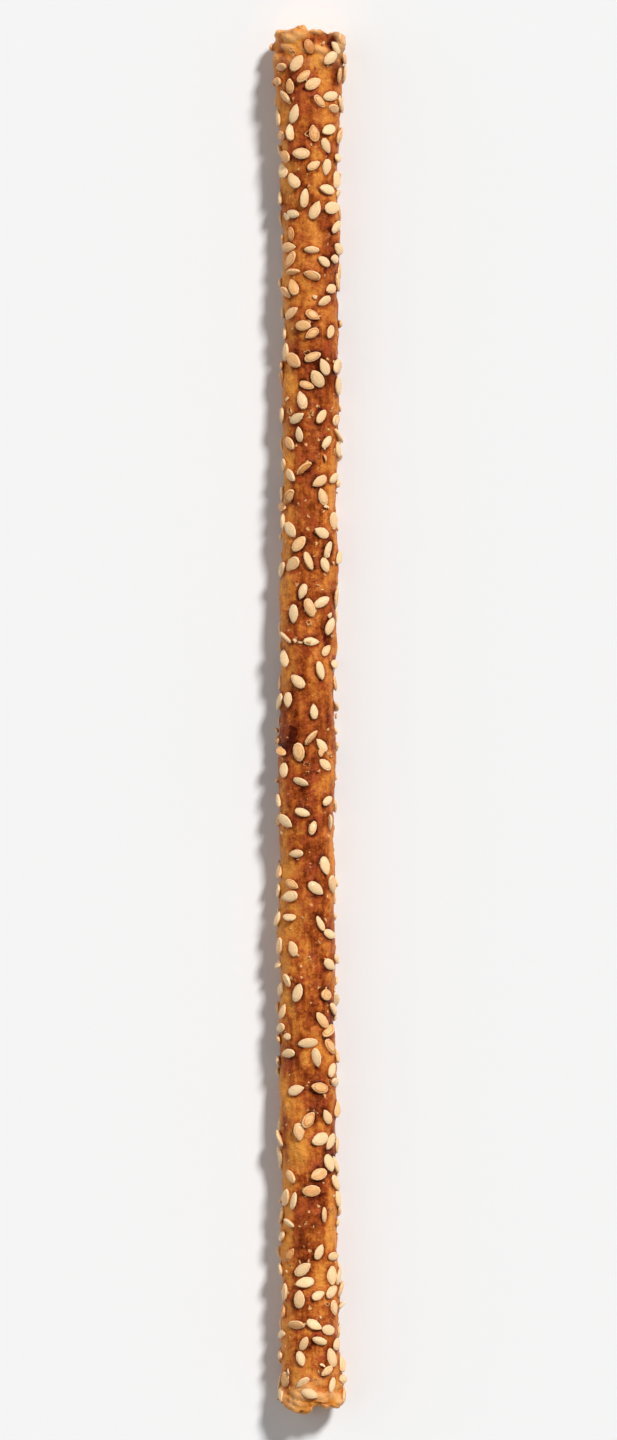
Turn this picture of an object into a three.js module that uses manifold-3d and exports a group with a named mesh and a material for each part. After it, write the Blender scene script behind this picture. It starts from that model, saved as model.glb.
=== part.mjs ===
// A sesame grissini breadstick, lying on its side on the narrow flat that it was baked on.
//
// Millimetres, +Z up. The stick runs along Y, with its wide, torn end at +Y. The origin is on
// the resting face, under the middle of the stick's length.
//
// The bread is one turned bar whose rings are reshaped by formulas: the bar flares where it was
// torn off at each end, bows gently sideways, and its baked crust heaves in long low swells.
// Sesame seeds lie on the crust by a seeded rule, each sunk a little into it and fused to it.

import * as THREE from "three";
import { mergeVertices } from "three/addons/utils/BufferGeometryUtils.js";
import Module from "manifold-3d";

const TURN = 2 * Math.PI;

// The bar. Distances along it are from its wide end.
const LENGTH = 218;
const WIDTH = 8.75; // along most of its length
const HEIGHT_SHARE = 0.98; // of the round section, for its width
const FLAT_DEPTH = 0.55; // what the baking tray took off the round section
const WIDE_FLARE = { width: 2.3, reach: 16 };
const FAR_FLARE = { width: 1.3, reach: 12 };
const FLARE_HEIGHT_SHARE = 0.42; // of a flare's width that also goes into the height
const BOW = { height: 0.35, wave: 170, crest: 48 }; // sideways

// Swells of the crust: how high, how many along the bar and round it, and where they start
const SWELLS = [
  { height: 0.14, along: 8, round: 2, start: 0.4 },
  { height: 0.11, along: 13, round: -1, start: 2.1 },
  { height: 0.1, along: 17, round: 3, start: 4.4 },
];

// Ridges of the torn ends: how high, how many in a half width and a half height of the end
// face, and where they start
const RIDGES = [
  { height: 0.42, across: 0.5, up: -0.1, start: 2.67 },
  { height: 0.34, across: 1, up: 0.1, start: 3.64 },
  { height: 0.16, across: 1.9, up: 0.25, start: 3.76 },
  { height: 0.1, across: 0.4, up: 1.1, start: 1.2 },
];
const FACE_RINGS = [0.4, 0.7, 0.9]; // radii of the rings on an end face, as shares of the bar's
const FACE_BULGE = 0.3; // how far the middle of an end face stands out
const RIM_DROP = 0.4; // how far the rim of an end face falls back
const RIM_SHARPNESS = 14;

// How finely the bar is made
const SIDES = 16;
const RINGS = 46;

// Where the seeds lie
const SEEDS = 440; // for the whole stick
const SOLID_SEEDS = 220; // the longest of them, that are solid here
const CROWDING = 0.26; // how much denser they lie at the ends than in the middle
const JITTER = 4.4; // how far a seed lies from an even spread, at most, each way
const APART = 1.45; // least distance between the middles and shoulders of two seeds
const SHOULDER = 0.185; // from a seed's middle to its shoulder, as a share of its length
const TRIES = 20; // at placing a seed clear of the others
const END_CLEAR = 1.3; // least distance from a seed's middle to an end
const UNDERSIDE = 0.72; // radians either side of straight down, with no solid seeds
const GOLDEN_ANGLE = Math.PI * (3 - Math.sqrt(5));
const DRAW_SEED = 26;

// A sesame seed
const SEED_LENGTH = 2.85;
const SEED_LENGTH_SPREAD = 0.42; // longer or shorter, at most
const SEED_WIDTH_SHARE = 0.6; // of its length
const SEED_THICKNESS = 0.95;
const SEED_POINT = 0.3; // how much narrower it is at its point than in the middle
const SEED_SUNK = 0.3; // of its thickness, in the crust
const SEED_TILT = 0.2; // radians, at most
const SEED_SIDES = 5;
const SEED_SPANS = 3; // from tip to tip

// Evenly spread draws between 0 and 1, the same ones for the same seed.
function drawer(seed) {
  let state = seed;
  return () => {
    state = (state * 1664525 + 1013904223) % 4294967296;
    return state / 4294967296;
  };
}

// What the flares add to the width.
function flareAt(along) {
  const hump = (distance, { width, reach }) => width * Math.exp(-((distance / reach) ** 2));
  return hump(along, WIDE_FLARE) + hump(LENGTH - along, FAR_FLARE);
}

function swellAt(along, angle) {
  return SWELLS.reduce(
    (sum, swell) =>
      sum +
      swell.height *
        Math.sin((TURN * swell.along * along) / LENGTH + swell.round * angle + swell.start),
    0,
  );
}

// How far an end face stands out at one of its points. The end is 1 for the wide one, -1 for the
// other, and the point is given by its angle and its share of the radius.
function ridgeAt(end, angle, share) {
  const ridges = RIDGES.reduce((sum, { height, across, up, start }) => {
    const waves = share * (across * Math.cos(angle) + end * up * Math.sin(angle));
    return sum + height * Math.sin(TURN * waves + start);
  }, 0);
  return ridges + FACE_BULGE * (1 - share ** 2) - RIM_DROP * share ** RIM_SHARPNESS;
}

// A point of the bar. The angle runs from +X over the top, and share is 1 on the crust.
function barPoint(along, angle, share = 1) {
  const flare = flareAt(along);
  const swell = swellAt(along, angle);
  const halfWidth = (WIDTH + flare) / 2;
  const halfHeight = (WIDTH * HEIGHT_SHARE + flare * FLARE_HEIGHT_SHARE) / 2;
  const sideways = BOW.height * Math.cos((TURN * (along - BOW.crest)) / BOW.wave);
  return new THREE.Vector3(
    sideways + share * (halfWidth + swell) * Math.cos(angle),
    LENGTH / 2 - along,
    halfHeight - FLAT_DEPTH + share * (halfHeight + swell) * Math.sin(angle),
  );
}

function barNormal(along, angle) {
  const step = 0.05;
  const lengthwise = barPoint(along + step, angle).sub(barPoint(along - step, angle));
  const round = barPoint(along, angle + step).sub(barPoint(along, angle - step));
  return round.cross(lengthwise).normalize();
}

const wasm = await Module();
wasm.setup();

// A closed geometry as a solid that can be joined and cut.
function solidOf(geometry) {
  const bare = geometry.clone();
  bare.deleteAttribute("normal");
  bare.deleteAttribute("uv");
  const merged = mergeVertices(bare);
  return new wasm.Manifold(
    new wasm.Mesh({
      numProp: 3,
      vertProperties: merged.attributes.position.array,
      triVerts: new Uint32Array(merged.index.array),
    }),
  );
}

function geometryOf(solid) {
  const { vertProperties, triVerts } = solid.getMesh();
  const geometry = new THREE.BufferGeometry();
  geometry.setAttribute("position", new THREE.BufferAttribute(vertProperties, 3));
  geometry.setIndex(new THREE.BufferAttribute(triVerts, 1));
  geometry.computeVertexNormals();
  return geometry;
}

// The bar: a straight turned one, whose every vertex is then moved to its place. In the profile
// x is the share of the section, and y the distance along the bar.
function makeBar() {
  const profile = [new THREE.Vector2(0, LENGTH)];
  FACE_RINGS.forEach((share) => profile.push(new THREE.Vector2(share, LENGTH)));
  for (let ring = RINGS; ring >= 0; ring -= 1) {
    profile.push(new THREE.Vector2(1, (LENGTH * ring) / RINGS));
  }
  [...FACE_RINGS].reverse().forEach((share) => profile.push(new THREE.Vector2(share, 0)));
  profile.push(new THREE.Vector2(0, 0));
  const bar = new THREE.LatheGeometry(profile, SIDES);
  const places = bar.attributes.position;
  for (let i = 0; i < places.count; i += 1) {
    const along = places.getY(i);
    const share = Math.hypot(places.getX(i), places.getZ(i));
    const angle = Math.atan2(places.getZ(i), places.getX(i));
    const point = barPoint(along, angle, share);
    if (along === 0) point.y += ridgeAt(1, angle, share);
    if (along === LENGTH) point.y -= ridgeAt(-1, angle, share);
    places.setXYZ(i, point.x, point.y, point.z);
  }
  return solidOf(bar);
}

// Where a seed lies on the crust: its middle, the way out of the crust there, and the way that
// its point lies. The marks are its middle and its two shoulders.
function seatOn(along, angle, length, spin) {
  const middle = barPoint(along, angle);
  const up = barNormal(along, angle);
  const ahead = new THREE.Vector3(0, 1, 0).projectOnPlane(up).normalize();
  ahead.applyAxisAngle(up, spin);
  const marks = [-SHOULDER, 0, SHOULDER].map((share) =>
    middle.clone().addScaledVector(ahead, share * length),
  );
  return { angle, length, middle, up, ahead, marks };
}

// The places of the seeds: an even spiral down the bar, which each seed leaves by its own draws,
// drawn again while it lies too close to an earlier seed or to an end.
function seedPlaces() {
  const draw = drawer(DRAW_SEED);
  const spread = () => 2 * draw() - 1;
  const places = [];
  const isClear = (seat) =>
    places.every(({ marks }) =>
      marks.every((mark) => seat.marks.every((other) => other.distanceTo(mark) > APART)),
    );
  for (let i = 0; i < SEEDS; i += 1) {
    const share = (i + 0.5) / SEEDS;
    const even = LENGTH * (share - (CROWDING * Math.sin(TURN * share)) / TURN);
    const length = SEED_LENGTH + SEED_LENGTH_SPREAD * spread();
    const spin = TURN * draw();
    const tilt = SEED_TILT * spread();
    for (let tries = 0; tries < TRIES; tries += 1) {
      const along = even + JITTER * spread();
      const angle = i * GOLDEN_ANGLE + (2 * JITTER * spread()) / WIDTH;
      if (along > END_CLEAR && along < LENGTH - END_CLEAR) {
        const seat = seatOn(along, angle, length, spin);
        if (isClear(seat)) {
          places.push({ ...seat, tilt });
          break;
        }
      }
    }
  }
  return places;
}

// How far round an angle is from straight down.
function fromBelow(angle) {
  return Math.acos(-Math.sin(angle));
}

// One sesame seed at its place: a flat lens, drawn out to a point at one end.
function makeSeed({ length, middle, up, ahead, tilt }) {
  const seed = new THREE.SphereGeometry(1, SEED_SIDES, SEED_SPANS);
  const corners = seed.attributes.position;
  for (let i = 0; i < corners.count; i += 1) {
    const [x, y, z] = [corners.getX(i), corners.getY(i), corners.getZ(i)];
    const half = (1 - SEED_POINT * y) / 2;
    corners.setXYZ(
      i,
      x * length * SEED_WIDTH_SHARE * half,
      (y * length) / 2,
      z * SEED_THICKNESS * half,
    );
  }
  const side = new THREE.Vector3().crossVectors(ahead, up);
  const raised = middle.clone().addScaledVector(up, SEED_THICKNESS * (0.5 - SEED_SUNK));
  const matrix = new THREE.Matrix4()
    .makeRotationAxis(side, tilt)
    .multiply(new THREE.Matrix4().makeBasis(side, ahead, up))
    .setPosition(raised);
  return solidOf(seed.applyMatrix4(matrix));
}

const solidSeeds = seedPlaces()
  .filter(({ angle }) => fromBelow(angle) > UNDERSIDE)
  .sort((a, b) => b.length - a.length)
  .slice(0, SOLID_SEEDS);

// The bar and its seeds are one solid, cut level with the tray.
const tray = new THREE.BoxGeometry(LENGTH, 2 * LENGTH, LENGTH).translate(0, 0, -LENGTH / 2);
const stick = wasm.Manifold.union([makeBar(), ...solidSeeds.map(makeSeed)]).subtract(
  solidOf(tray),
);

const breadstick = new THREE.Mesh(
  geometryOf(stick),
  new THREE.MeshStandardMaterial({ color: 0xb4702f, roughness: 0.55, metalness: 0 }),
);
breadstick.name = "breadstick";

const model = new THREE.Group();
model.add(breadstick);

export default model;
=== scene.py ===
# A sesame grissini breadstick on a pale floor.
#
# Metres, +Z up. The stick lies where the frame's one node does, along Y, with its wide, torn
# end at +Y. The bar is drawn out ring by ring, and modifiers raise its baked relief. Sesame
# seeds lie on it by a seeded rule, and broken bits of them lie between.

import math
from typing import NamedTuple

import bmesh
import bpy
from mathutils import Matrix, Quaternion, Vector


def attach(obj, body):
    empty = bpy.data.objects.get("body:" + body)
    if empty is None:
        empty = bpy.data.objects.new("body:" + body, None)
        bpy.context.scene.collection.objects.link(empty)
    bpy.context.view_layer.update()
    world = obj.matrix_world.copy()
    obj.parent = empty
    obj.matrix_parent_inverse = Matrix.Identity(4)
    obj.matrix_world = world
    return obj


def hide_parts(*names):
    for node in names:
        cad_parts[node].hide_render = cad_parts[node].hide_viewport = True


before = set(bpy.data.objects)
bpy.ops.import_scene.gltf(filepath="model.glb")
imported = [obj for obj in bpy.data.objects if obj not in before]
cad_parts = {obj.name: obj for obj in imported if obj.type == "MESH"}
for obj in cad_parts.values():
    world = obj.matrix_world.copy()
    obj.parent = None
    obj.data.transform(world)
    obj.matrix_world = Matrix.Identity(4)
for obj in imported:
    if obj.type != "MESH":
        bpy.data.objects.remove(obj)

bl_info = {
    "name": "Sesame breadstick",
    "version": (1, 0, 0),
    "blender": (4, 5, 0),
    "location": "View3D > Sidebar > Breadstick",
    "description": "Models a sesame grissini breadstick and a studio for it",
    "category": "Add Mesh",
}

MM = 0.001
TURN = 2 * math.pi
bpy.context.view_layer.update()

# How finely the bar is drawn out, before its faces are split SPLITS times
RINGS = 218
SIDES = 26
SPLITS = 2
END_SLACK = 0.1 * MM  # how close to the bar's end its end face lies

# How far each way from a point of the crust its normal is measured: along the bar, and round
# it in radians
NORMAL_STEP = 0.05 * MM
NORMAL_TURN = 0.05

# Widths added towards the torn ends: how much, and how far along they reach
WIDE_FLARE = (2.3 * MM, 16 * MM)
FAR_FLARE = (1.3 * MM, 12 * MM)
FLARE_HEIGHT_SHARE = 0.42  # of a flare's width that also goes into the height
BOW_WAVE = 170 * MM
BOW_CREST = 48 * MM  # from the wide end

# Swells of the crust: how high, how many along the bar and round it, and where they start
SWELLS = (
    (0.14 * MM, 8, 2, 0.4),
    (0.11 * MM, 13, -1, 2.1),
    (0.1 * MM, 17, 3, 4.4),
)

# Ridges of the torn ends: how high, how many in a half width and a half height of the end
# face, and where they start
RIDGES = (
    (0.42 * MM, 0.5, -0.1, 2.67),
    (0.34 * MM, 1, 0.1, 3.64),
    (0.16 * MM, 1.9, 0.25, 3.76),
    (0.1 * MM, 0.4, 1.1, 1.2),
)
FACE_BULGE = 0.3 * MM  # how far the middle of an end face stands out
RIM_DROP = 0.4 * MM  # how far the rim of an end face falls back
RIM_SHARPNESS = 14
FACE_INSETS = (0.05, 0.1, 0.16, 0.2, 0.22)  # of an end face's half width, one after another
FACE_EDGES = (1.4 * MM, 0.2 * MM)  # how far from an end its ridges begin, and are full
CORNER_LIFT = 0.6 * MM  # of the wide end's -X side, where the crust tore off higher
CORNER_EDGES = (-0.5, -0.95)  # of the half width, where that lift begins, and is full
ROUGH_EDGES = (7 * MM, 2.5 * MM)  # how far from an end torn dough begins, and covers it all


class Clouds(NamedTuple):
    """Relief in cloudy noise: its height and size, and how the noise is made."""

    height: float
    size: float
    detail: float = 2.0
    roughness: float = 0.5
    distortion: float = 0.0


class Spots(NamedTuple):
    """Scattered round spots: how far apart, how large, and the share of them that is kept."""

    spacing: float
    radius: float
    kept: float


# The relief of the crust
LUMPS = Clouds(0.7 * MM, 8 * MM, 1.0)
DIMPLES = Clouds(0.85 * MM, 2.4 * MM, 2.0, 0.55, 0.7)
FINE_BUMPS = Clouds(0.2 * MM, 0.8 * MM, 2.0, 0.6)
WRINKLES = Clouds(0.6 * MM, 1.8 * MM, 2.0, 0.6, 0.8)  # of torn dough
FOLD_HEIGHT = 1.1 * MM  # of torn dough
FOLD_SIZE = 2.9 * MM
FOLD_SHIFT = (2.4 * MM, 1.3 * MM)  # of the folds' pattern, across and along the bar
BLISTERS = Spots(3.4 * MM, 0.8 * MM, 0.6)
BLISTER_WARP = (0.7 * MM, 1.5 * MM)  # the size of the warps in their outlines, and how far they go
BLISTER_HEIGHT = 0.2 * MM
CRATER_DEPTH = 0.15 * MM  # of a burst blister's middle
POCKS = Spots(2.3 * MM, 0.42 * MM, 0.4)
POCK_DEPTH = 0.13 * MM
WELT_HEIGHT = 0.09 * MM  # of the crust round a seed
WELT_EDGES = (0.45 * MM, 0.05 * MM)  # how far from a seed it begins, and is full
CALM_EDGES = (0.1 * MM, 1.3 * MM)  # how far from a seed the relief is least, and is full
CALMEST = 0.3  # the share of the relief that is left next to a seed

# The underside, pressed flat on the baking tray
TRAY_CLEAR = 0.1 * MM  # from the floor up to the flat
TRAY_MARKS = Clouds(0.09 * MM, 1.6 * MM)
TRAY_ROUNDING = 0.12 * MM  # of the edge between the flat and the flanks
TRAY_EDGES = (0.35 * MM, 0.05 * MM)  # the heights where the tray's browning begins, and is full

# Where the crust is browner, and where a stretch of it is darker, partly by a painted shadow:
# where each stretch begins, and is full, up or across the bar
TOP_EDGES = (5.2 * MM, 8.1 * MM)
LOW_EDGES = (6.2 * MM, 3.2 * MM)
LEFT_EDGES = (2 * MM, -1 * MM)
RIGHT_EDGES = (1.5 * MM, 4.5 * MM)
TOP_WANDER = 9 * MM  # how far patches shift the top's edges, from lowest to highest
SCORCH_AND_SHADOW_PLACE = -3 * MM  # where along it the crust is darkest, partly baked more and partly a painted shadow
SCORCH_AND_SHADOW_REACH = 11 * MM  # how far that goes to each side
SCORCH_AND_SHADOW_EDGES = (4 * MM, -1 * MM)  # where across it that begins, and is full
PALE_PLACE = 34 * MM  # where along it a paler stretch lies, between darker ones
PALE_WAVE = 60 * MM  # from one paler stretch to the next
CRUMB_EDGES = (1 * MM, -0.4 * MM)  # how far from an end its face begins, and is bare crumb

# Small marks on the crust: pores and pits that painted shade darkens, and pale flecks that are
# partly painted glints
PORES = Spots(1.4 * MM, 0.45 * MM, 0.6)
PITS = Spots(0.9 * MM, 0.2 * MM, 0.35)
FLECKS_AND_GLINTS = Spots(1.5 * MM, 0.46 * MM, 0.6)
FLECK_AND_GLINT_WARP = (0.5 * MM, 0.9 * MM)

# How much light each mirrors
CRUST_GLOSS = 0.05
SEED_GLOSS = 0.4

# Where the seeds lie, by the rule that the solid's seeds follow
CROWDING = 0.26  # how much denser they lie at the ends than in the middle
JITTER = 4.4 * MM  # how far a seed lies from an even spread, at most, each way
APART = 1.45 * MM  # least distance between the middles and shoulders of two seeds
SHOULDER = 0.185  # from a seed's middle to its shoulder, as a share of its length
TRIES = 20  # at placing a seed clear of the others
END_CLEAR = 1.3 * MM  # least distance from a seed's middle to an end
GOLDEN_ANGLE = math.pi * (3 - math.sqrt(5))
FLOOR_CLEAR = 0.03 * MM  # under the lowest seeds
UNDERNEATH = -0.35  # a seed lies underneath where its outward direction rises less than this

# How each seed lies, by its own draws
LEAST_THICKNESS = 0.8  # of the usual one
THICKNESS_SPREAD = 0.25
UPSIDE_DOWN = 0.4  # the share of the seeds that lie on their dished face
ON_EDGE = 2.2  # how much further than the rest the seeds roll that stand most on edge
ON_EDGE_SHARPNESS = 6
END_TOAST = 0.18  # how much more the seeds toasted at the torn ends
END_TOAST_REACH = 14 * MM
DEEP_SHARE = 0.16  # the share of the seeds that lie deep in the crust
DEEPER = 0.2  # how much more of their thickness is sunk
DEEP_TOAST = 0.25  # how much more they toasted

# Seeds for each unit of length: width, how wide the point and the blunt end are, and how deeply
# the face is dished
SEED_SHAPES = (
    (0.58, 0.78, 1.15, 0.1),
    (0.65, 0.86, 1.1, 0.2),
    (0.55, 0.68, 1.1, 0.0),
    (0.61, 0.66, 1.2, 0.14),
    (0.53, 0.9, 1.15, -0.1),
)
SEED_SEGMENTS = 12
SEED_RINGS = 6

# Broken bits for each unit of length: width, where the cut lies along the seed, and its slant
CHIP_SHAPES = (
    (0.7, 0.1, 0.2),
    (0.9, -0.1, -0.5),
    (1.1, 0.2, 0.4),
)
SMALLEST_CHIP = 0.35  # as a share of the longest
CHIP_TILT = 0.6  # radians, from the one way to the other
CHIP_THICKNESS = 0.3  # of its length at least, and up to twice that
CHIP_SUNK = 0.2  # of its thickness, in the crust

# The lights: how wide a part of the surroundings each comes from, in radians, and the way to it
KEY_LIGHT = (0.17, (0.38, 0.55, 0.67))
LEFT_LIGHT = (1.2, (-0.8, 0.1, 0.6))
RIGHT_LIGHT = (1.2, (0.8, -0.3, 0.6))

FLOOR_WIDTH = 8.0
FLOOR_GREY = 0.86
FLOOR_ROUGHNESS = 0.9


class Section(NamedTuple):
    """The bar's cross-section at one place along it, before the flat is pressed."""

    half_width: float
    half_height: float
    sideways: float
    up: float


class Seat(NamedTuple):
    """A seed's place on the crust. The marks are its middle and its two shoulders."""

    length: float
    middle: Vector
    up: Vector
    ahead: Vector
    tilt: float
    marks: tuple


def distance(name, about, default):
    """A length that the sidebar shows."""
    return bpy.props.FloatProperty(
        name=name, description=about, default=default, unit="LENGTH", subtype="DISTANCE"
    )


def share(name, about, default):
    """A part of a whole that the sidebar shows as a slider."""
    return bpy.props.FloatProperty(
        name=name, description=about, default=default, min=0, max=1, subtype="FACTOR"
    )


def colour(name, about, default):
    """A colour that the sidebar shows, given as it looks, from 0 to 255."""
    linear = [to_linear(level / 255) for level in default]
    return bpy.props.FloatVectorProperty(
        name=name, description=about, default=linear, size=3, min=0, max=1, subtype="COLOR"
    )


def to_linear(level):
    """A level of a colour as it looks, as the amount of light."""
    return level / 12.92 if level <= 0.04045 else ((level + 0.055) / 1.055) ** 2.4


class StickSizes(bpy.types.PropertyGroup):
    """The bar of the breadstick."""

    length: distance("Length", "From one torn end to the other", 218 * MM)
    width: distance("Width", "Along most of the bar", 8.75 * MM)
    height_share: share("Height share", "Height of the round section for its width", 0.98)
    flat_depth: distance("Flat depth", "What the baking tray took off the section", 0.55 * MM)
    bow: distance("Bow", "How far the bar bends sideways", 0.35 * MM)


class SeedSizes(bpy.types.PropertyGroup):
    """The sesame seeds and how they lie."""

    count: bpy.props.IntProperty(
        name="Seeds", description="Sesame seeds to lay on the stick", default=440, min=1
    )
    draw: bpy.props.IntProperty(
        name="Draw", description="Starts the random draws of their places", default=26
    )
    length: distance("Seed length", "From point to blunt end", 2.85 * MM)
    spread: distance("Spread", "How much longer or shorter a seed may be", 0.42 * MM)
    thickness: distance("Thickness", "At a seed's middle", 0.95 * MM)
    sunk: share("Sunk", "How much of its thickness lies in the crust", 0.3)
    tilt: bpy.props.FloatProperty(
        name="Tilt", description="How far a seed may tilt", default=0.2, subtype="ANGLE"
    )
    roll: bpy.props.FloatProperty(
        name="Roll", description="How far a seed may roll", default=0.36, subtype="ANGLE"
    )
    chips: bpy.props.IntProperty(
        name="Chips", description="Broken bits of seed on the stick", default=130, min=1
    )
    chip_length: distance("Chip length", "Of the longest broken bits", 1.6 * MM)


class BakeColours(bpy.types.PropertyGroup):
    """The colours of the crust and the seeds."""

    golden: colour("Golden", "Crust that baked the least", (231, 152, 64))
    # Brown also deepens the pores of the crumb, as painted shade
    brown: colour("Brown", "Crust that browned", (177, 85, 31))
    rosy: colour("Rosy", "Patches with a redder glaze", (176, 74, 44))
    # Dark is also where painted shade beside the seeds and in the pits goes
    dark: colour("Dark", "Crust that baked the most", (74, 16, 1))
    # Torn is also the colour of pale flecks and blister rims, which are partly painted glints
    torn: colour("Torn", "Dough at the torn ends", (240, 184, 122))
    ivory: colour("Ivory", "The palest seeds", (249, 210, 158))
    tan: colour("Tan", "Seeds that toasted more", (238, 170, 98))
    # Toasted also colours the seeds' edges, partly as painted contact shade
    toasted: colour("Toasted", "Edges and darkest seeds", (200, 114, 50))


class StudioSettings(bpy.types.PropertyGroup):
    """The camera and the lights."""

    distance: distance("Camera distance", "From the camera down to the floor", 1.0)
    shown: distance("Shown length", "Of the floor, along the longer side of the view", 0.2295)
    key: bpy.props.FloatProperty(
        name="Key", description="Watts on each square metre from the key light", default=3.26
    )
    left_fill: bpy.props.FloatProperty(
        name="Left fill", description="Watts on each square metre from the left", default=0.62
    )
    right_fill: bpy.props.FloatProperty(
        name="Right fill", description="Watts on each square metre from the right", default=0.15
    )
    ambient: bpy.props.FloatProperty(
        name="Ambient", description="Strength of the white surroundings", default=0.18
    )


def make_drawer(seed):
    """Evenly spread draws between 0 and 1, the same ones for the same seed."""
    state = seed

    def draw():
        nonlocal state
        state = (state * 1664525 + 1013904223) % 4294967296
        return state / 4294967296

    return draw


def section_at(sizes, along):
    """The bar's section at a distance along it from the wide end."""
    wide, far = (
        width * math.exp(-((way / reach) ** 2))
        for way, (width, reach) in ((along, WIDE_FLARE), (sizes.length - along, FAR_FLARE))
    )
    half_height = (sizes.width * sizes.height_share + (wide + far) * FLARE_HEIGHT_SHARE) / 2
    return Section(
        half_width=(sizes.width + wide + far) / 2,
        half_height=half_height,
        sideways=sizes.bow * math.cos(TURN * (along - BOW_CREST) / BOW_WAVE),
        up=half_height - sizes.flat_depth,
    )


def bar_point(sizes, along, angle):
    """A point of the crust. The angle runs from +X over the top."""
    section = section_at(sizes, along)
    swell = sum(
        height * math.sin(TURN * waves * along / sizes.length + around * angle + start)
        for height, waves, around, start in SWELLS
    )
    return Vector(
        (
            section.sideways + (section.half_width + swell) * math.cos(angle),
            sizes.length / 2 - along,
            section.up + (section.half_height + swell) * math.sin(angle),
        )
    )


def bar_normal(sizes, along, angle):
    """The way out of the crust at one of its points."""
    lengthwise = bar_point(sizes, along + NORMAL_STEP, angle) - bar_point(
        sizes, along - NORMAL_STEP, angle
    )
    around = bar_point(sizes, along, angle + NORMAL_TURN) - bar_point(
        sizes, along, angle - NORMAL_TURN
    )
    return around.cross(lengthwise).normalized()


def seat_on(sizes, along, angle, length, spin, tilt):
    """The place of a seed with its middle at one point of the crust."""
    middle = bar_point(sizes, along, angle)
    up = bar_normal(sizes, along, angle)
    lengthwise = Vector((0, 1, 0))
    ahead = (lengthwise - up * lengthwise.dot(up)).normalized()
    ahead.rotate(Quaternion(up, spin))
    marks = tuple(middle + ahead * length * way for way in (-SHOULDER, 0, SHOULDER))
    return Seat(length, middle, up, ahead, tilt, marks)


def seed_seats(sizes, seeds):
    """The places of the seeds: an even spiral down the bar, which each seed leaves by its own
    draws, drawn again while it lies too close to an earlier seed or to an end."""
    draw = make_drawer(seeds.draw)
    seats = []

    def spread():
        return 2 * draw() - 1

    def is_clear(seat):
        return all(
            (mark - other).length > APART
            for taken in seats
            if (taken.middle - seat.middle).length < 2 * seeds.length
            for mark in taken.marks
            for other in seat.marks
        )

    for i in range(seeds.count):
        way = (i + 0.5) / seeds.count
        even = sizes.length * (way - CROWDING * math.sin(TURN * way) / TURN)
        length = seeds.length + seeds.spread * spread()
        spin = TURN * draw()
        tilt = seeds.tilt * spread()
        for _ in range(TRIES):
            along = even + JITTER * spread()
            angle = i * GOLDEN_ANGLE + 2 * JITTER * spread() / sizes.width
            if END_CLEAR < along < sizes.length - END_CLEAR:
                seat = seat_on(sizes, along, angle, length, spin, tilt)
                if is_clear(seat):
                    seats.append(seat)
                    break
    return seats


# ---- Working in edit mode ----


def deselect_all():
    """Leaves nothing selected, in object mode."""
    if bpy.context.object and bpy.context.object.mode != "OBJECT":
        bpy.ops.object.mode_set(mode="OBJECT")
    bpy.ops.object.select_all(action="DESELECT")


def make_active(piece):
    """Selects one piece alone."""
    deselect_all()
    piece.select_set(True)
    bpy.context.view_layer.objects.active = piece


def select_faces(piece, wanted):
    """In edit mode, selects just the faces that are wanted."""
    bpy.ops.mesh.select_mode(type="FACE")
    bpy.ops.mesh.select_all(action="DESELECT")
    for face in bmesh.from_edit_mesh(piece.data).faces:
        if wanted(face):
            face.select_set(True)
    bmesh.update_edit_mesh(piece.data)


def select_corners(piece, wanted):
    """In edit mode, selects just the corners that are wanted, and says whether there are any."""
    bpy.ops.mesh.select_mode(type="VERT")
    bpy.ops.mesh.select_all(action="DESELECT")
    edit = bmesh.from_edit_mesh(piece.data)
    chosen = [corner for corner in edit.verts if wanted(corner.co)]
    for corner in chosen:
        corner.select_set(True)
    edit.select_flush_mode()
    bmesh.update_edit_mesh(piece.data)
    return bool(chosen)


def apply_modifier(piece, kind, **settings):
    """Adds one modifier and applies it."""
    modifier = piece.modifiers.new(kind.title(), kind)
    for name, value in settings.items():
        setattr(modifier, name, value)
    make_active(piece)
    bpy.ops.object.modifier_apply(modifier=modifier.name)


def mount_piece(piece):
    """Lets a finished piece ride on the stick's body and stand for its solid."""
    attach(piece, "root")
    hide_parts("breadstick")


# ---- Formulas as nodes ----


class Field:
    """A node's output that formulas can be written with."""

    def __init__(self, tree, socket):
        self.tree = tree
        self.socket = socket

    def __add__(self, other):
        return math_node(self.tree, "ADD", self, other)

    def __sub__(self, other):
        return math_node(self.tree, "SUBTRACT", self, other)

    def __rsub__(self, other):
        return math_node(self.tree, "SUBTRACT", other, self)

    def __mul__(self, other):
        return math_node(self.tree, "MULTIPLY", self, other)

    def __truediv__(self, other):
        return math_node(self.tree, "DIVIDE", self, other)

    def __pow__(self, other):
        return math_node(self.tree, "POWER", self, other)

    __radd__ = __add__
    __rmul__ = __mul__

    def of(self, operation, *others):
        """Another function of this field, by its Math node's name."""
        return math_node(self.tree, operation, self, *others)


def add_node(tree, kind, inputs=(), output=0, **settings):
    """Adds a node, wires its inputs to fields or values, and gives one output as a field."""
    node = tree.nodes.new(kind)
    for name, value in settings.items():
        setattr(node, name, value)
    for key, value in dict(inputs).items():
        if isinstance(value, Field):
            tree.links.new(value.socket, node.inputs[key])
        else:
            node.inputs[key].default_value = value
    return Field(tree, node.outputs[output])


def math_node(tree, operation, *values):
    """One Math node."""
    return add_node(tree, "ShaderNodeMath", dict(enumerate(values)), operation=operation)


def combine(tree, x, y, z):
    """Three fields as a vector."""
    return add_node(tree, "ShaderNodeCombineXYZ", {0: x, 1: y, 2: z})


def separate(tree, vector):
    """A vector as three fields."""
    first = add_node(tree, "ShaderNodeSeparateXYZ", {0: vector})
    return [Field(tree, socket) for socket in first.socket.node.outputs]


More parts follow.
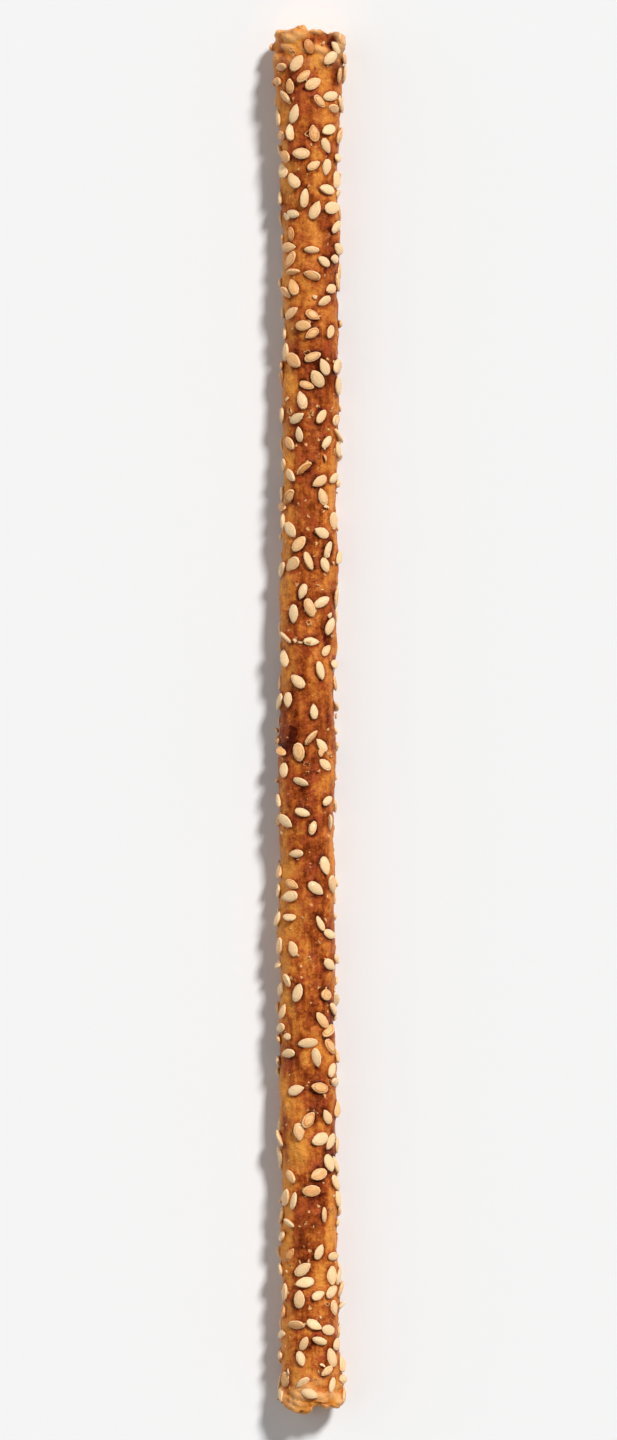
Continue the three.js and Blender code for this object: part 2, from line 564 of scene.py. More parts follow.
def ramp(tree, value, start, end):
    """A smooth step from 0 at the start to 1 at the end, which may be the lower one."""
    low, high = min(start, end), max(start, end)
    step = add_node(
        tree,
        "ShaderNodeMapRange",
        {"Value": value, "From Min": low, "From Max": high},
        interpolation_type="SMOOTHSTEP",
    )
    return step if start < end else 1 - step


def cloud_of(tree, place, scale, detail, roughness, distortion=0.0):
    """Cloudy noise from about 0 to 1."""
    values = {"Vector": place, "Scale": scale, "Detail": detail, "Roughness": roughness}
    values["Distortion"] = distortion
    return add_node(tree, "ShaderNodeTexNoise", values)


def noise(tree, place, size, detail=2.0, roughness=0.5, distortion=0.0):
    """Cloudy noise from about -0.5 to 0.5, with clouds of one size in metres."""
    return cloud_of(tree, place, 1 / size, detail, roughness, distortion) - 0.5


def clouds_field(tree, place, clouds):
    """The height of cloudy relief, in metres."""
    return clouds.height * noise(
        tree, place, clouds.size, clouds.detail, clouds.roughness, clouds.distortion
    )


def spots_field(tree, place, spots):
    """A field that is 1 at the middle of scattered spots, and 0 outside them."""
    cells = {"Vector": place, "Scale": 1 / spots.spacing, "Randomness": 0.9}
    reach = add_node(tree, "ShaderNodeTexVoronoi", cells)
    lot = separate(tree, Field(tree, reach.socket.node.outputs["Color"]))[0]
    inside = ramp(tree, reach * spots.spacing, spots.radius, 0.0)
    return inside * lot.of("LESS_THAN", spots.kept)


def warped(tree, place, size, reach):
    """A place moved about by cloudy noise of one size, by up to a reach."""
    clouds = add_node(tree, "ShaderNodeTexNoise", {"Vector": place, "Scale": 1 / size})
    moves = Field(tree, clouds.socket.node.outputs["Color"])
    values = {0: moves, 1: (reach, reach, reach), 2: place}
    return add_node(tree, "ShaderNodeVectorMath", values, operation="MULTIPLY_ADD")


def blister_field(tree, place):
    """A field that is 1 at the middle of ragged blisters, and 0 outside them."""
    return spots_field(tree, warped(tree, place, *BLISTER_WARP), BLISTERS)


def folds_field(tree, place, size):
    """Soft bulges with creases between them, from about -0.5 to 0.5."""
    cells = {"Vector": place, "Scale": 1 / size, "Smoothness": 0.15, "Randomness": 0.85}
    reach = add_node(tree, "ShaderNodeTexVoronoi", cells, feature="SMOOTH_F1")
    return 0.5 - reach


# ---- The crust ----


def draw_out_bar(sizes):
    """One round face, drawn out ring by ring from the wide end to the other."""
    step = sizes.length / RINGS
    section = section_at(sizes, 0)
    start = (section.sideways, sizes.length / 2, section.up)
    bpy.ops.mesh.primitive_circle_add(
        vertices=SIDES,
        radius=section.half_width,
        fill_type="NGON",
        location=start,
        rotation=(math.pi / 2, 0, 0),
    )
    bar = bpy.context.object
    bar.name = bar.data.name = "crust"
    bpy.ops.object.transform_apply(location=True, rotation=True, scale=True)
    bpy.ops.object.mode_set(mode="EDIT")
    bpy.ops.mesh.select_all(action="SELECT")
    bpy.ops.transform.resize(
        value=(1, 1, section.half_height / section.half_width), center_override=start
    )
    for ring in range(1, RINGS + 1):
        last, section = section, section_at(sizes, ring * step)
        move = (section.sideways - last.sideways, -step, section.up - last.up)
        bpy.ops.mesh.extrude_region_move(TRANSFORM_OT_translate={"value": move})
        bpy.ops.transform.resize(
            value=(
                section.half_width / last.half_width,
                1,
                section.half_height / last.half_height,
            ),
            center_override=(section.sideways, sizes.length / 2 - ring * step, section.up),
        )
    for end in (1, -1):
        inset_end(bar, sizes, end)
    bpy.ops.mesh.select_all(action="SELECT")
    bpy.ops.mesh.normals_make_consistent(inside=False)
    bpy.ops.object.mode_set(mode="OBJECT")
    return bar


def inset_end(bar, sizes, end):
    """Rings on an end face, so that it can be shaped."""
    half_width = section_at(sizes, 0 if end > 0 else sizes.length).half_width
    last = sizes.length / 2 - END_SLACK
    select_faces(bar, lambda face: end * face.calc_center_median().y > last)
    for inset in FACE_INSETS:
        bpy.ops.mesh.inset(thickness=inset * half_width)


def ridge_field(end, across, up, reach):
    """How far an end face stands out at one of its points."""
    height = FACE_BULGE * (1 - reach**2) - RIM_DROP * reach**RIM_SHARPNESS
    for size, waves_across, waves_up, start in RIDGES:
        waves = across * waves_across + up * (end * waves_up)
        height = height + size * (waves * TURN + start).of("SINE")
    return height


def position(tree):
    """Where each point of the shape is at this stage."""
    return add_node(tree, "GeometryNodeInputPosition")


def moved(tree, shape, offset):
    """The shape with each point moved by an offset."""
    return add_node(tree, "GeometryNodeSetPosition", {"Geometry": shape, "Offset": offset})


def stored(tree, shape, name, value, data_type="FLOAT"):
    """The shape with a value kept on it under a name, for the material."""
    values = {"Geometry": shape, "Name": name, "Value": value}
    return add_node(tree, "GeometryNodeStoreNamedAttribute", values, data_type=data_type)


def tear_ends(tree, shape, sizes):
    """The bar's swells and torn ends as the solid has them, and a corner that tore off higher."""
    x, y, z = separate(tree, position(tree))
    along = sizes.length / 2 - y
    flare = sum(
        width * ((way / reach) ** 2 * -1.0).of("EXPONENT")
        for way, (width, reach) in ((along, WIDE_FLARE), (sizes.length - along, FAR_FLARE))
    )
    half_width = (flare + sizes.width) / 2
    half_height = (flare * FLARE_HEIGHT_SHARE + sizes.width * sizes.height_share) / 2
    sideways = sizes.bow * ((along - BOW_CREST) * (TURN / BOW_WAVE)).of("COSINE")
    across = (x - sideways) / half_width
    up = (z - half_height + sizes.flat_depth) / half_height
    angle = up.of("ARCTAN2", across)
    reach = (across**2 + up**2).of("SQRT").of("MINIMUM", 1.0)
    swell = sum(
        height * (along * (TURN * waves / sizes.length) + angle * around + start).of("SINE")
        for height, waves, around, start in SWELLS
    )
    wide_end = ramp(tree, along, *FACE_EDGES)
    far_end = ramp(tree, sizes.length - along, *FACE_EDGES)
    wide_torn = wide_end * ridge_field(1, across, up, reach)
    far_torn = far_end * ridge_field(-1, across, up, reach)
    corner = CORNER_LIFT * wide_end * ramp(tree, across, *CORNER_EDGES)
    torn = wide_torn - far_torn + corner
    swell = swell * reach
    return moved(
        tree, shape, combine(tree, swell * angle.of("COSINE"), torn, swell * angle.of("SINE"))
    )


def store_seed_gap(tree, shape, seeds_piece):
    """Keeps how far the nearest seed is, and gives it as a field too."""
    seeds = add_node(tree, "GeometryNodeObjectInfo", {"Object": seeds_piece}, output="Geometry")
    gap = add_node(
        tree,
        "GeometryNodeProximity",
        {"Geometry": seeds},
        output="Distance",
        target_element="FACES",
    )
    shape = stored(tree, shape, "seed_gap", gap)
    gap = add_node(
        tree, "GeometryNodeInputNamedAttribute", {"Name": "seed_gap"}, data_type="FLOAT"
    )
    return shape, gap


def raise_relief(tree, shape, sizes, seeds_piece):
    """What the oven raised: lumps, dimples, blisters and welts, and folds at the torn ends."""
    shape, gap = store_seed_gap(tree, shape, seeds_piece)
    calm = ramp(tree, gap, *CALM_EDGES) * (1 - CALMEST) + CALMEST
    place = position(tree)
    shape = stored(tree, shape, "place", place, "FLOAT_VECTOR")
    x, y, z = separate(tree, place)
    rough_end = ramp(tree, sizes.length / 2 - y.of("ABSOLUTE"), *ROUGH_EDGES)

    # Where y counts for less, the relief is drawn out along the bar
    stretched = combine(tree, x, y * 0.6, z)
    lumps = clouds_field(tree, stretched, LUMPS)
    dimples = clouds_field(tree, stretched, DIMPLES)
    fine_bumps = clouds_field(tree, place, FINE_BUMPS)
    wrinkles = clouds_field(tree, place, WRINKLES)
    shift_across, shift_along = FOLD_SHIFT
    slanted = combine(tree, x + shift_across, y * 1.9 + x * 0.5 + shift_along, z)
    fold = rough_end * folds_field(tree, slanted, FOLD_SIZE)
    shape = stored(tree, shape, "fold", fold)
    pocks = -POCK_DEPTH * spots_field(tree, place, POCKS)
    blister = blister_field(tree, place)
    blisters = BLISTER_HEIGHT * ramp(tree, blister, 0.0, 0.4)
    craters = -CRATER_DEPTH * ramp(tree, blister, 0.5, 0.85)
    welt = WELT_HEIGHT * ramp(tree, gap, *WELT_EDGES)
    relief = (lumps + dimples + pocks + blisters + craters) * calm + fine_bumps
    relief = relief + wrinkles * rough_end + FOLD_HEIGHT * fold + welt
    shape = stored(tree, shape, "relief", relief)
    shape = stored(tree, shape, "torn", rough_end)
    outward = {0: add_node(tree, "GeometryNodeInputNormal"), "Scale": relief}
    return moved(
        tree, shape, add_node(tree, "ShaderNodeVectorMath", outward, operation="SCALE")
    )


def press_underside(tree, shape):
    """The underside pressed flat, a little rough from the baking tray."""
    place = position(tree)
    z = separate(tree, place)[2]
    floor = TRAY_CLEAR + clouds_field(tree, place, TRAY_MARKS)
    lifted = z.of("SMOOTH_MAX", floor, TRAY_ROUNDING)
    shape = stored(tree, shape, "underside", ramp(tree, z, *TRAY_EDGES))
    return moved(tree, shape, combine(tree, 0.0, 0.0, lifted - z))


def relief_group(sizes, seeds_piece):
    """The baked relief of the crust, as a Geometry Nodes group."""
    tree = bpy.data.node_groups.new("Baked relief", "GeometryNodeTree")
    tree.interface.new_socket("Geometry", in_out="INPUT", socket_type="NodeSocketGeometry")
    tree.interface.new_socket("Geometry", in_out="OUTPUT", socket_type="NodeSocketGeometry")
    shape = add_node(tree, "NodeGroupInput")
    shape = tear_ends(tree, shape, sizes)
    shape = raise_relief(tree, shape, sizes, seeds_piece)
    shape = press_underside(tree, shape)
    end = tree.nodes.new("NodeGroupOutput")
    tree.links.new(shape.socket, end.inputs["Geometry"])
    return tree


# ---- Materials ----


def surface_of(name):
    """A material with only a Principled surface, its node tree and that node."""
    material = bpy.data.materials.new(name)
    material.use_nodes = True
    tree = material.node_tree
    return material, tree, tree.nodes["Principled BSDF"]


def mix(tree, amount, first, second):
    """One colour over another by an amount."""
    colours = {0: amount, 6: with_alpha(first), 7: with_alpha(second)}
    return add_node(tree, "ShaderNodeMix", colours, output=2, data_type="RGBA")


def with_alpha(value):
    """A colour as a socket takes it."""
    return value if isinstance(value, Field) else (*value, 1.0)


def attribute(tree, name):
    """A value that the mesh carries."""
    return add_node(tree, "ShaderNodeAttribute", output="Fac", attribute_name=name)


def bump(tree, height):
    """The normal of a surface with a height field in millimetres."""
    return add_node(tree, "ShaderNodeBump", {"Height": height, "Distance": MM, "Strength": 1.0})


def wire(tree, field, shader, name):
    """Feeds a field to one of the shader's sockets."""
    tree.links.new(field.socket, shader.inputs[name])


def object_place(tree):
    """The place on the piece, in metres."""
    return add_node(tree, "ShaderNodeTexCoord", output="Object")


def shared_group(name, inputs, output, build):
    """A shader node group that several materials place, each with its own values. The inputs
    are kinds and starting values, and build gives what comes out."""
    tree = bpy.data.node_groups.get(name)
    if tree:
        return tree
    tree = bpy.data.node_groups.new(name, "ShaderNodeTree")
    for key, (kind, value) in inputs.items():
        socket = tree.interface.new_socket(key, in_out="INPUT", socket_type=kind)
        if value is not None:
            socket.default_value = value
    name, kind = output
    tree.interface.new_socket(name, in_out="OUTPUT", socket_type=kind)
    start = tree.nodes.new("NodeGroupInput")
    end = tree.nodes.new("NodeGroupOutput")
    result = build(tree, *(Field(tree, start.outputs[key]) for key in inputs))
    tree.links.new(result.socket, end.inputs[name])
    return tree


def baked(tree, amount, pale, browned, burnt):
    """A colour that goes from pale over browned to burnt as the amount goes from 0 to 1."""

    def build(inner, amount, pale, browned, burnt):
        first = mix(inner, ramp(inner, amount, 0.0, 0.65), pale, browned)
        return mix(inner, ramp(inner, amount, 0.35, 1.0), first, burnt)

    black = (0, 0, 0, 1)
    inputs = {
        "Amount": ("NodeSocketFloat", 0.0),
        "Pale": ("NodeSocketColor", black),
        "Browned": ("NodeSocketColor", black),
        "Burnt": ("NodeSocketColor", black),
    }
    group = shared_group("Baking", inputs, ("Color", "NodeSocketColor"), build)
    values = {"Amount": amount}
    values.update(Pale=with_alpha(pale), Browned=with_alpha(browned), Burnt=with_alpha(burnt))
    return add_node(tree, "ShaderNodeGroup", values, node_tree=group)


def grain(tree, place, size):
    """Sharp fine grain from about -0.5 to 0.5, coarse and fine together."""

    def build(inner, place, scale):
        coarse = cloud_of(inner, place, scale, 2.0, 0.7) - 0.5
        fine = cloud_of(inner, place, scale * 2.7, 1.0, 0.5) - 0.5
        return (coarse * 1.8 + fine * 0.9).of("MAXIMUM", -0.5).of("MINIMUM", 0.5)

    inputs = {"Place": ("NodeSocketVector", None), "Scale": ("NodeSocketFloat", 1000.0)}
    group = shared_group("Grain", inputs, ("Value", "NodeSocketFloat"), build)
    values = {"Place": place, "Scale": 1 / size}
    return add_node(tree, "ShaderNodeGroup", values, node_tree=group)


def crust_material(sizes, colours):
    """Baked crust: golden flanks, a browner top with redder patches, dark specks, creases, pits
    and pores deepened by painted shade, painted shade round the seeds, pale flecks and blister
    rims that are partly painted glints, torn dough, and a faint gloss."""
    material, tree, shader = surface_of("baked crust")
    place = add_node(tree, "ShaderNodeAttribute", output="Vector", attribute_name="place")
    x, y, z = separate(tree, place)
    to_end = sizes.length / 2 - y.of("ABSOLUTE")
    gap = attribute(tree, "seed_gap")
    torn = attribute(tree, "torn")
    patches = noise(tree, combine(tree, x, y * 0.4, z), 5 * MM, 2.0, 0.5)
    mottle = noise(tree, place, 1.3 * MM, 3.0, 0.65, 0.25)
    streaks = noise(tree, combine(tree, x, y * 0.15, z), 0.7 * MM, 2.0, 0.6)
    specks = grain(tree, place, 0.42 * MM)
    blister = blister_field(tree, place)
    burst = ramp(tree, blister, 0.5, 0.7)

    # How dark each place is: mostly how much it baked, with painted shade beside the seeds, in
    # hollows and in burst blisters, and partly a painted shadow over one stretch
    top = ramp(tree, z + patches * TOP_WANDER, *TOP_EDGES)
    low_left = ramp(tree, z, *LOW_EDGES) * ramp(tree, x, *LEFT_EDGES)
    # Darker crust next to the seeds: partly caramel round them, partly painted shade where they
    # meet the crust
    near_seed_caramel_and_shade = ramp(tree, gap, 0.85 * MM, 0.1 * MM)
    under_seed_caramel_and_shade = ramp(tree, gap, 0.3 * MM, 0.02 * MM)
    # A stretch darker on the left of the bar: partly browning, partly a painted shadow
    scorch_and_shadow = (((y - SCORCH_AND_SHADOW_PLACE) / SCORCH_AND_SHADOW_REACH) ** 2 * -1.0).of("EXPONENT")
    scorch_and_shadow = scorch_and_shadow * ramp(tree, x, *SCORCH_AND_SHADOW_EDGES)
    pale = ((y - PALE_PLACE) * (TURN / PALE_WAVE)).of("COSINE")
    # Hollows of the relief are browner and rises paler: painted shade in the hollows
    raised = attribute(tree, "relief") * (0.36 / MM)
    uneven = patches + mottle * 0.85 + streaks * 0.55 - raised
    strength = top * 0.45 + low_left * 0.4 + 0.65
    amount = top * 0.3 + low_left * 0.16 + uneven * strength + specks * 0.23
    amount = amount + scorch_and_shadow * 0.32 + 0.2
    amount = amount + near_seed_caramel_and_shade * 0.22 + under_seed_caramel_and_shade * 0.16 - torn * 0.18
    amount = amount + burst * 0.25 + x * (0.02 / MM) - pale * 0.07
    amount = amount + ramp(tree, x, *RIGHT_EDGES) * 0.1
    base = baked(tree, amount, colours.golden, colours.brown, colours.dark)

    # Redder patches of glaze, where it isn't baked too dark
    glaze = ramp(tree, noise(tree, place, 2.4 * MM, 2.0, 0.6, 0.4), -0.02, 0.14)
    glaze = glaze * (top * 0.45 + 0.05) * ramp(tree, amount, 0.95, 0.55)
    base = mix(tree, glaze, base, colours.rosy)

    # Torn dough and the bare crumb of the end faces, with its pores darkened by painted shade
    bulges = torn * ramp(tree, attribute(tree, "fold") + mottle * 0.8, -0.15, 0.2)
    base = mix(tree, bulges * 0.6, base, colours.torn)
    crumb = ramp(tree, to_end, *CRUMB_EDGES)
    paler = crumb * ramp(tree, mottle + patches, -0.25, 0.15)
    base = mix(tree, paler * 0.55, base, colours.torn)
    pores = crumb * spots_field(tree, place, PORES)
    base = mix(tree, ramp(tree, pores, 0.1, 0.6) * 0.6, base, colours.brown)

    # Dark pits with painted shade, pale flecks and rims of blisters that are partly painted
    # glints, and what the tray browned
    pits = spots_field(tree, place, PITS)
    base = mix(tree, pits * 0.5, base, colours.dark)
    pale_rims_and_glints = (ramp(tree, blister, 0.15, 0.35) - burst) * ramp(tree, mottle, -0.12, 0.1)
    flecks_and_glints = spots_field(tree, warped(tree, place, *FLECK_AND_GLINT_WARP), FLECKS_AND_GLINTS)
    flecks_and_glints = ramp(tree, flecks_and_glints * ramp(tree, patches, -0.08, 0.06), 0.2, 0.6)
    base = mix(tree, flecks_and_glints.of("MAXIMUM", pale_rims_and_glints) * 0.85, base, colours.torn)
    base = mix(tree, attribute(tree, "underside") * 0.5, base, colours.dark)
    wire(tree, base, shader, "Base Color")
    wire(tree, 0.28 + specks * 0.15 + mottle * 0.4, shader, "Roughness")
    height = mottle * 0.36 + specks * 0.05 + flecks_and_glints * 0.1 + pale_rims_and_glints * 0.12
    height = height - pits * 0.1 - pores * 0.4
    wire(tree, bump(tree, height), shader, "Normal")
    shader.inputs["Specular IOR Level"].default_value = CRUST_GLOSS
    return material


def seed_material(colours):
    """Sesame: ivory with a paler rim round a darker dish and groove, partly their own tone and
    partly painted highlight and shade, a tan edge that is partly painted contact shade, and
    faint lines along it.
    """
    material, tree, shader = surface_of("toasted sesame")
    tone = attribute(tree, "tone")
    across, ahead, _ = separate(tree, add_node(tree, "ShaderNodeUVMap", uv_map="seed"))
    across, ahead = across * 2.0 - 1.0, ahead * 2.0 - 1.0
    reach = (across**2 + ahead**2).of("SQRT")
    specks = grain(tree, object_place(tree), 0.5 * MM)
    lines = grain(tree, combine(tree, across * 5.0, ahead * 1.1, tone * 40.0), 1.0)
    # A paler rim round a darker dish and groove: partly the seed's own tone, partly a painted
    # highlight on the rim and painted shade in the dish and groove
    inside = ramp(tree, reach + specks * 0.15, 0.9, 0.68)
    groove = inside * ramp(tree, reach + specks * 0.15, 0.45, 0.68)
    groove = groove * (tone * 7.3).of("FRACT")
    # A browner edge: partly toasted, partly painted shade where the seed meets the crust
    toasted_and_shaded_edge = ramp(tree, reach + specks * 0.1, 0.92, 1.0)
    amount = (tone - 0.64) * 0.7 + groove * 0.34 + inside * (0.2 + lines * 0.3)
    amount = amount + toasted_and_shaded_edge * 0.5 + specks * 0.16
    base = baked(tree, amount, colours.ivory, colours.tan, colours.toasted)
    wire(tree, base, shader, "Base Color")
    wire(tree, 0.3 + specks * 0.2, shader, "Roughness")
    height = lines * 0.04 + specks * 0.04 - inside * 0.05 - groove * 0.04
    wire(tree, bump(tree, height), shader, "Normal")
    shader.inputs["Specular IOR Level"].default_value = SEED_GLOSS
    return material


# ---- The seeds ----


def make_seed_form(width, point, blunt, dish):
    """One sesame seed of unit length: a flat pebble with a point at +Y and a dished face."""
    bpy.ops.mesh.primitive_uv_sphere_add(
        segments=SEED_SEGMENTS, ring_count=SEED_RINGS, radius=0.5
    )
    form = bpy.context.object
    layer = form.data.uv_layers[0]
    layer.name = "seed"
    for loop in form.data.loops:
        co = form.data.vertices[loop.vertex_index].co
        layer.data[loop.index].uv = (co.x + 0.5, co.y + 0.5)
    bpy.ops.object.mode_set(mode="EDIT")
    bpy.ops.transform.resize(value=(width, 1, 1))
    steps = (
        (lambda co: co.z > 0.45, (1, 1, 0.86 - dish)),  # the middle of the face
        (lambda co: 0.4 < co.z < 0.45, (1.15, 1.12, 0.92 - 0.6 * dish)),  # the face round it
        (lambda co: co.z < -0.4, (1.2, 1.2, 0.8)),  # the back
        (lambda co: co.y < -0.4, (blunt, 1, 1)),  # the blunt end
        (lambda co: co.y > 0.2, (0.5 + 0.5 * point, 1, 1)),  # the half towards the point
        (lambda co: co.y > 0.4, (point, 1, 1)),  # the point
    )
    for wanted, spread in steps:
        if select_corners(form, wanted):
            bpy.ops.transform.resize(value=spread, center_override=(0, 0, 0))
    if select_corners(form, lambda co: co.y > 0.49):
        bpy.ops.transform.translate(value=(0, 0.1 * (1 - point), 0))
    bpy.ops.mesh.select_all(action="SELECT")
    bpy.ops.mesh.normals_make_consistent(inside=False)
    bpy.ops.object.mode_set(mode="OBJECT")
    bpy.ops.object.shade_smooth()
    return form


def make_chip_form(width, cut, slant):
    """A broken bit of a seed: what lies past a slanted cut across it."""
    form = make_seed_form(width, point=0.84, blunt=1.0, dish=0.1)
    bpy.ops.object.mode_set(mode="EDIT")
    bpy.ops.mesh.select_all(action="SELECT")
    bpy.ops.mesh.bisect(
        plane_co=(0, cut, 0), plane_no=(slant, 1, 0.3), use_fill=True, clear_inner=True
    )
    bpy.ops.mesh.select_all(action="SELECT")
    bpy.ops.transform.translate(value=(0, -(cut + 0.5) / 2, 0))
    bpy.ops.object.mode_set(mode="OBJECT")
    return form


def lay_seed(form, seat, thickness, sunk, tone, roll=0.0):
    """A copy of a seed form in its place on the crust, kept clear of the floor. It is rolled
    over its length and tilted over its width."""
    side = seat.ahead.cross(seat.up)
    lean = Matrix.Rotation(seat.tilt, 3, side) @ Matrix.Rotation(roll, 3, seat.ahead)
    turn = lean @ Matrix((side, seat.ahead, seat.up)).transposed()
    raised = seat.middle + seat.up * abs(thickness) * (0.5 - sunk)
    scale = Matrix.Diagonal((seat.length, seat.length, thickness, 1))
    mesh = form.data.copy()
    mesh.transform(Matrix.Translation(raised) @ turn.to_4x4() @ scale)
    lowest = min(vertex.co.z for vertex in mesh.vertices)
    if lowest < FLOOR_CLEAR and seat.up.z < UNDERNEATH:
        mesh.transform(Matrix.Translation(seat.up * (FLOOR_CLEAR - lowest) / seat.up.z))
    values = mesh.attributes.new("tone", "FLOAT", "POINT")
    values.data.foreach_set("value", [tone] * len(mesh.vertices))
    copy = bpy.data.objects.new("seed", mesh)
    bpy.context.collection.objects.link(copy)
    return copy


def finish_seeds(copies, forms, name, context):
    """Joins laid copies to one piece of sesame, and removes the forms they were copied from."""
    piece = join_as(copies, name)
    remove(forms)
    bpy.ops.object.mode_set(mode="EDIT")
    bpy.ops.mesh.select_all(action="SELECT")
    bpy.ops.mesh.normals_make_consistent(inside=False)
    bpy.ops.object.mode_set(mode="OBJECT")
    material = bpy.data.materials.get("toasted sesame")
    if not material:
        material = seed_material(context.scene.breadstick_colours)
    piece.data.materials.append(material)
    mount_piece(piece)


def join_as(copies, name):
    """Joins copies to one piece, pressed flat where it would go through the floor."""
    deselect_all()
    for copy in copies:
        copy.select_set(True)
    bpy.context.view_layer.objects.active = copies[0]
    bpy.ops.object.join()
    piece = bpy.context.object
    piece.name = piece.data.name = name
    bpy.ops.object.mode_set(mode="EDIT")
    if select_corners(piece, lambda co: co.z < FLOOR_CLEAR):
        bpy.ops.transform.resize(value=(1, 1, 0), center_override=(0, 0, FLOOR_CLEAR))
    bpy.ops.object.mode_set(mode="OBJECT")
    return piece


def remove(pieces):
    """Removes forms that have been copied."""
    for piece in pieces:
        bpy.data.meshes.remove(piece.data)


class BREADSTICK_OT_seeds(bpy.types.Operator):
    """Models a few sesame seeds and lays copies of them on the stick"""

    bl_idname = "breadstick.seeds"
    bl_label = "Lay sesame seeds"

    def execute(self, context):
        scene = context.scene
        sizes, seeds = scene.breadstick_sizes, scene.breadstick_seeds
        deselect_all()
        forms = [make_seed_form(*shape) for shape in SEED_SHAPES]
        draw = make_drawer(seeds.draw + 1)
        copies = []
        for i, seat in enumerate(seed_seats(sizes, seeds)):
            thickness = seeds.thickness * (LEAST_THICKNESS + THICKNESS_SPREAD * draw())
            to_end = sizes.length / 2 - abs(seat.middle.y)
            tone = draw() + END_TOAST * math.exp(-to_end / END_TOAST_REACH)
            if draw() < UPSIDE_DOWN:
                thickness *= -1
            spread = 2 * draw() - 1
            roll = seeds.roll * spread * (1 + ON_EDGE * spread**ON_EDGE_SHARPNESS)
            sunk = seeds.sunk
            if draw() < DEEP_SHARE:
                sunk += DEEPER
                tone += DEEP_TOAST
            form = forms[i % len(forms)]
            copies.append(lay_seed(form, seat, thickness, sunk, tone, roll))
        finish_seeds(copies, forms, "sesame_seeds", context)
        return {"FINISHED"}


class BREADSTICK_OT_chips(bpy.types.Operator):
    """Breaks a few seeds and lays copies of the bits between the whole ones"""

    bl_idname = "breadstick.chips"
    bl_label = "Lay broken seeds"

    def execute(self, context):
        scene = context.scene
        sizes, seeds = scene.breadstick_sizes, scene.breadstick_seeds
        deselect_all()
        forms = [make_chip_form(*shape) for shape in CHIP_SHAPES]
        draw = make_drawer(seeds.draw + 2)
        copies = []
        for i in range(seeds.chips):
            along = END_CLEAR + (sizes.length - 2 * END_CLEAR) * draw()
            angle = TURN * draw()
            length = seeds.chip_length * (SMALLEST_CHIP + (1 - SMALLEST_CHIP) * draw() ** 2)
            spin = TURN * draw()
            tilt = CHIP_TILT * (draw() - 0.5)
            seat = seat_on(sizes, along, angle, length, spin, tilt)
            thickness = length * (CHIP_THICKNESS + CHIP_THICKNESS * draw())
            form = forms[i % len(forms)]
            copies.append(lay_seed(form, seat, thickness, CHIP_SUNK, draw()))
        finish_seeds(copies, forms, "seed_chips", context)
        return {"FINISHED"}


class BREADSTICK_OT_crust(bpy.types.Operator):
    """Draws out the bar, tears its ends and raises its baked relief"""

    bl_idname = "breadstick.crust"
    bl_label = "Model crust"

    def execute(self, context):
        scene = context.scene
        sizes = scene.breadstick_sizes
        deselect_all()
        bar = draw_out_bar(sizes)
        apply_modifier(bar, "SUBSURF", levels=SPLITS, render_levels=SPLITS)
        group = relief_group(sizes, bpy.data.objects["sesame_seeds"])
        apply_modifier(bar, "NODES", node_group=group)
        bpy.ops.object.shade_smooth()
        bar.data.materials.append(crust_material(sizes, scene.breadstick_colours))
        mount_piece(bar)
        return {"FINISHED"}


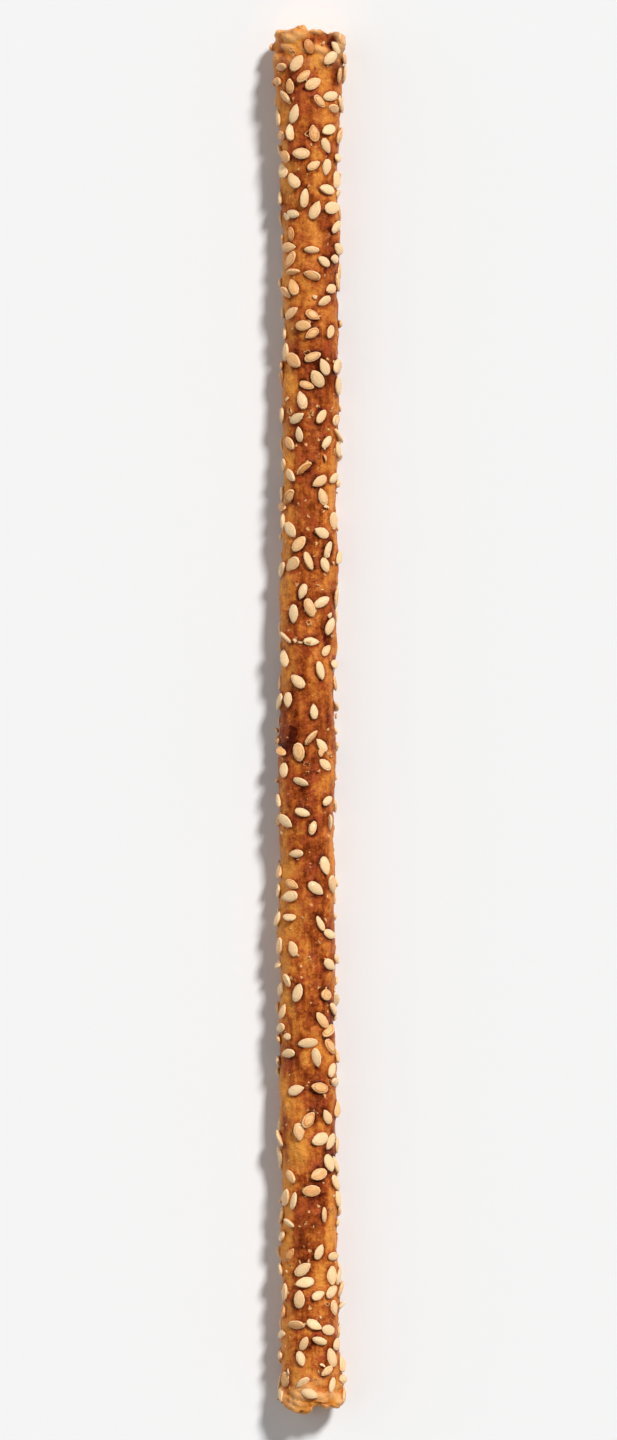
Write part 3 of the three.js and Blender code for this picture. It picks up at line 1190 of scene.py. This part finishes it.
class BREADSTICK_OT_studio(bpy.types.Operator):
    """Adds a pale floor, soft lights and a camera that looks straight down"""

    bl_idname = "breadstick.studio"
    bl_label = "Set up studio"

    def execute(self, context):
        scene = context.scene
        studio = scene.breadstick_studio
        deselect_all()
        self.add_floor()
        self.add_light("key", studio.key, *KEY_LIGHT)
        self.add_light("left_fill", studio.left_fill, *LEFT_LIGHT)
        self.add_light("right_fill", studio.right_fill, *RIGHT_LIGHT)
        world = bpy.data.worlds.new("white surroundings")
        world.use_nodes = True
        background = world.node_tree.nodes["Background"]
        background.inputs["Color"].default_value = (1, 1, 1, 1)
        background.inputs["Strength"].default_value = studio.ambient
        scene.world = world
        lens = bpy.data.cameras.new("camera")
        lens.lens = lens.sensor_width * studio.distance / studio.shown
        camera = bpy.data.objects.new("camera", lens)
        camera.location = (0, 0, studio.distance)
        scene.collection.objects.link(camera)
        scene.camera = camera
        scene.view_settings.view_transform = "Standard"
        return {"FINISHED"}

    def add_floor(self):
        """A wide floor, whose far edges lie outside every view."""
        bpy.ops.mesh.primitive_plane_add(size=FLOOR_WIDTH)
        floor = bpy.context.object
        floor.name = "floor"
        material, _, shader = surface_of("pale floor")
        shader.inputs["Base Color"].default_value = (FLOOR_GREY, FLOOR_GREY, FLOOR_GREY, 1)
        shader.inputs["Roughness"].default_value = FLOOR_ROUGHNESS
        floor.data.materials.append(material)

    def add_light(self, name, strength, spread, towards):
        """Light that comes evenly from one part of the surroundings, over a spread in radians."""
        bpy.ops.object.light_add(type="SUN", location=towards)
        light = bpy.context.object
        light.name = name
        light.data.energy = strength
        light.data.angle = spread
        light.rotation_euler = Vector(towards).to_track_quat("Z", "Y").to_euler()


class BREADSTICK_PT_panel(bpy.types.Panel):
    """Lists the breadstick's sizes, colours and steps"""

    bl_idname = "BREADSTICK_PT_panel"
    bl_label = "Breadstick"
    bl_space_type = "VIEW_3D"
    bl_region_type = "UI"
    bl_category = "Breadstick"

    def draw(self, context):
        for name in GROUPS:
            group = getattr(context.scene, name)
            box = self.layout.box()
            for key in group.bl_rna.properties.keys():
                if key not in ("name", "rna_type"):
                    box.prop(group, key)
        for step in STEPS:
            self.layout.operator(step.bl_idname)


GROUPS = {
    "breadstick_sizes": StickSizes,
    "breadstick_seeds": SeedSizes,
    "breadstick_colours": BakeColours,
    "breadstick_studio": StudioSettings,
}
STEPS = (BREADSTICK_OT_seeds, BREADSTICK_OT_chips, BREADSTICK_OT_crust, BREADSTICK_OT_studio)


def register():
    for cls in (*GROUPS.values(), *STEPS, BREADSTICK_PT_panel):
        bpy.utils.register_class(cls)
    for name, cls in GROUPS.items():
        setattr(bpy.types.Scene, name, bpy.props.PointerProperty(type=cls))


def unregister():
    for name in GROUPS:
        delattr(bpy.types.Scene, name)
    for cls in reversed((*GROUPS.values(), *STEPS, BREADSTICK_PT_panel)):
        bpy.utils.unregister_class(cls)


def main():
    """Makes the breadstick and its studio."""
    register()
    bpy.ops.breadstick.seeds()
    bpy.ops.breadstick.chips()
    bpy.ops.breadstick.crust()
    bpy.ops.breadstick.studio()


if __name__ == "__main__":
    main()
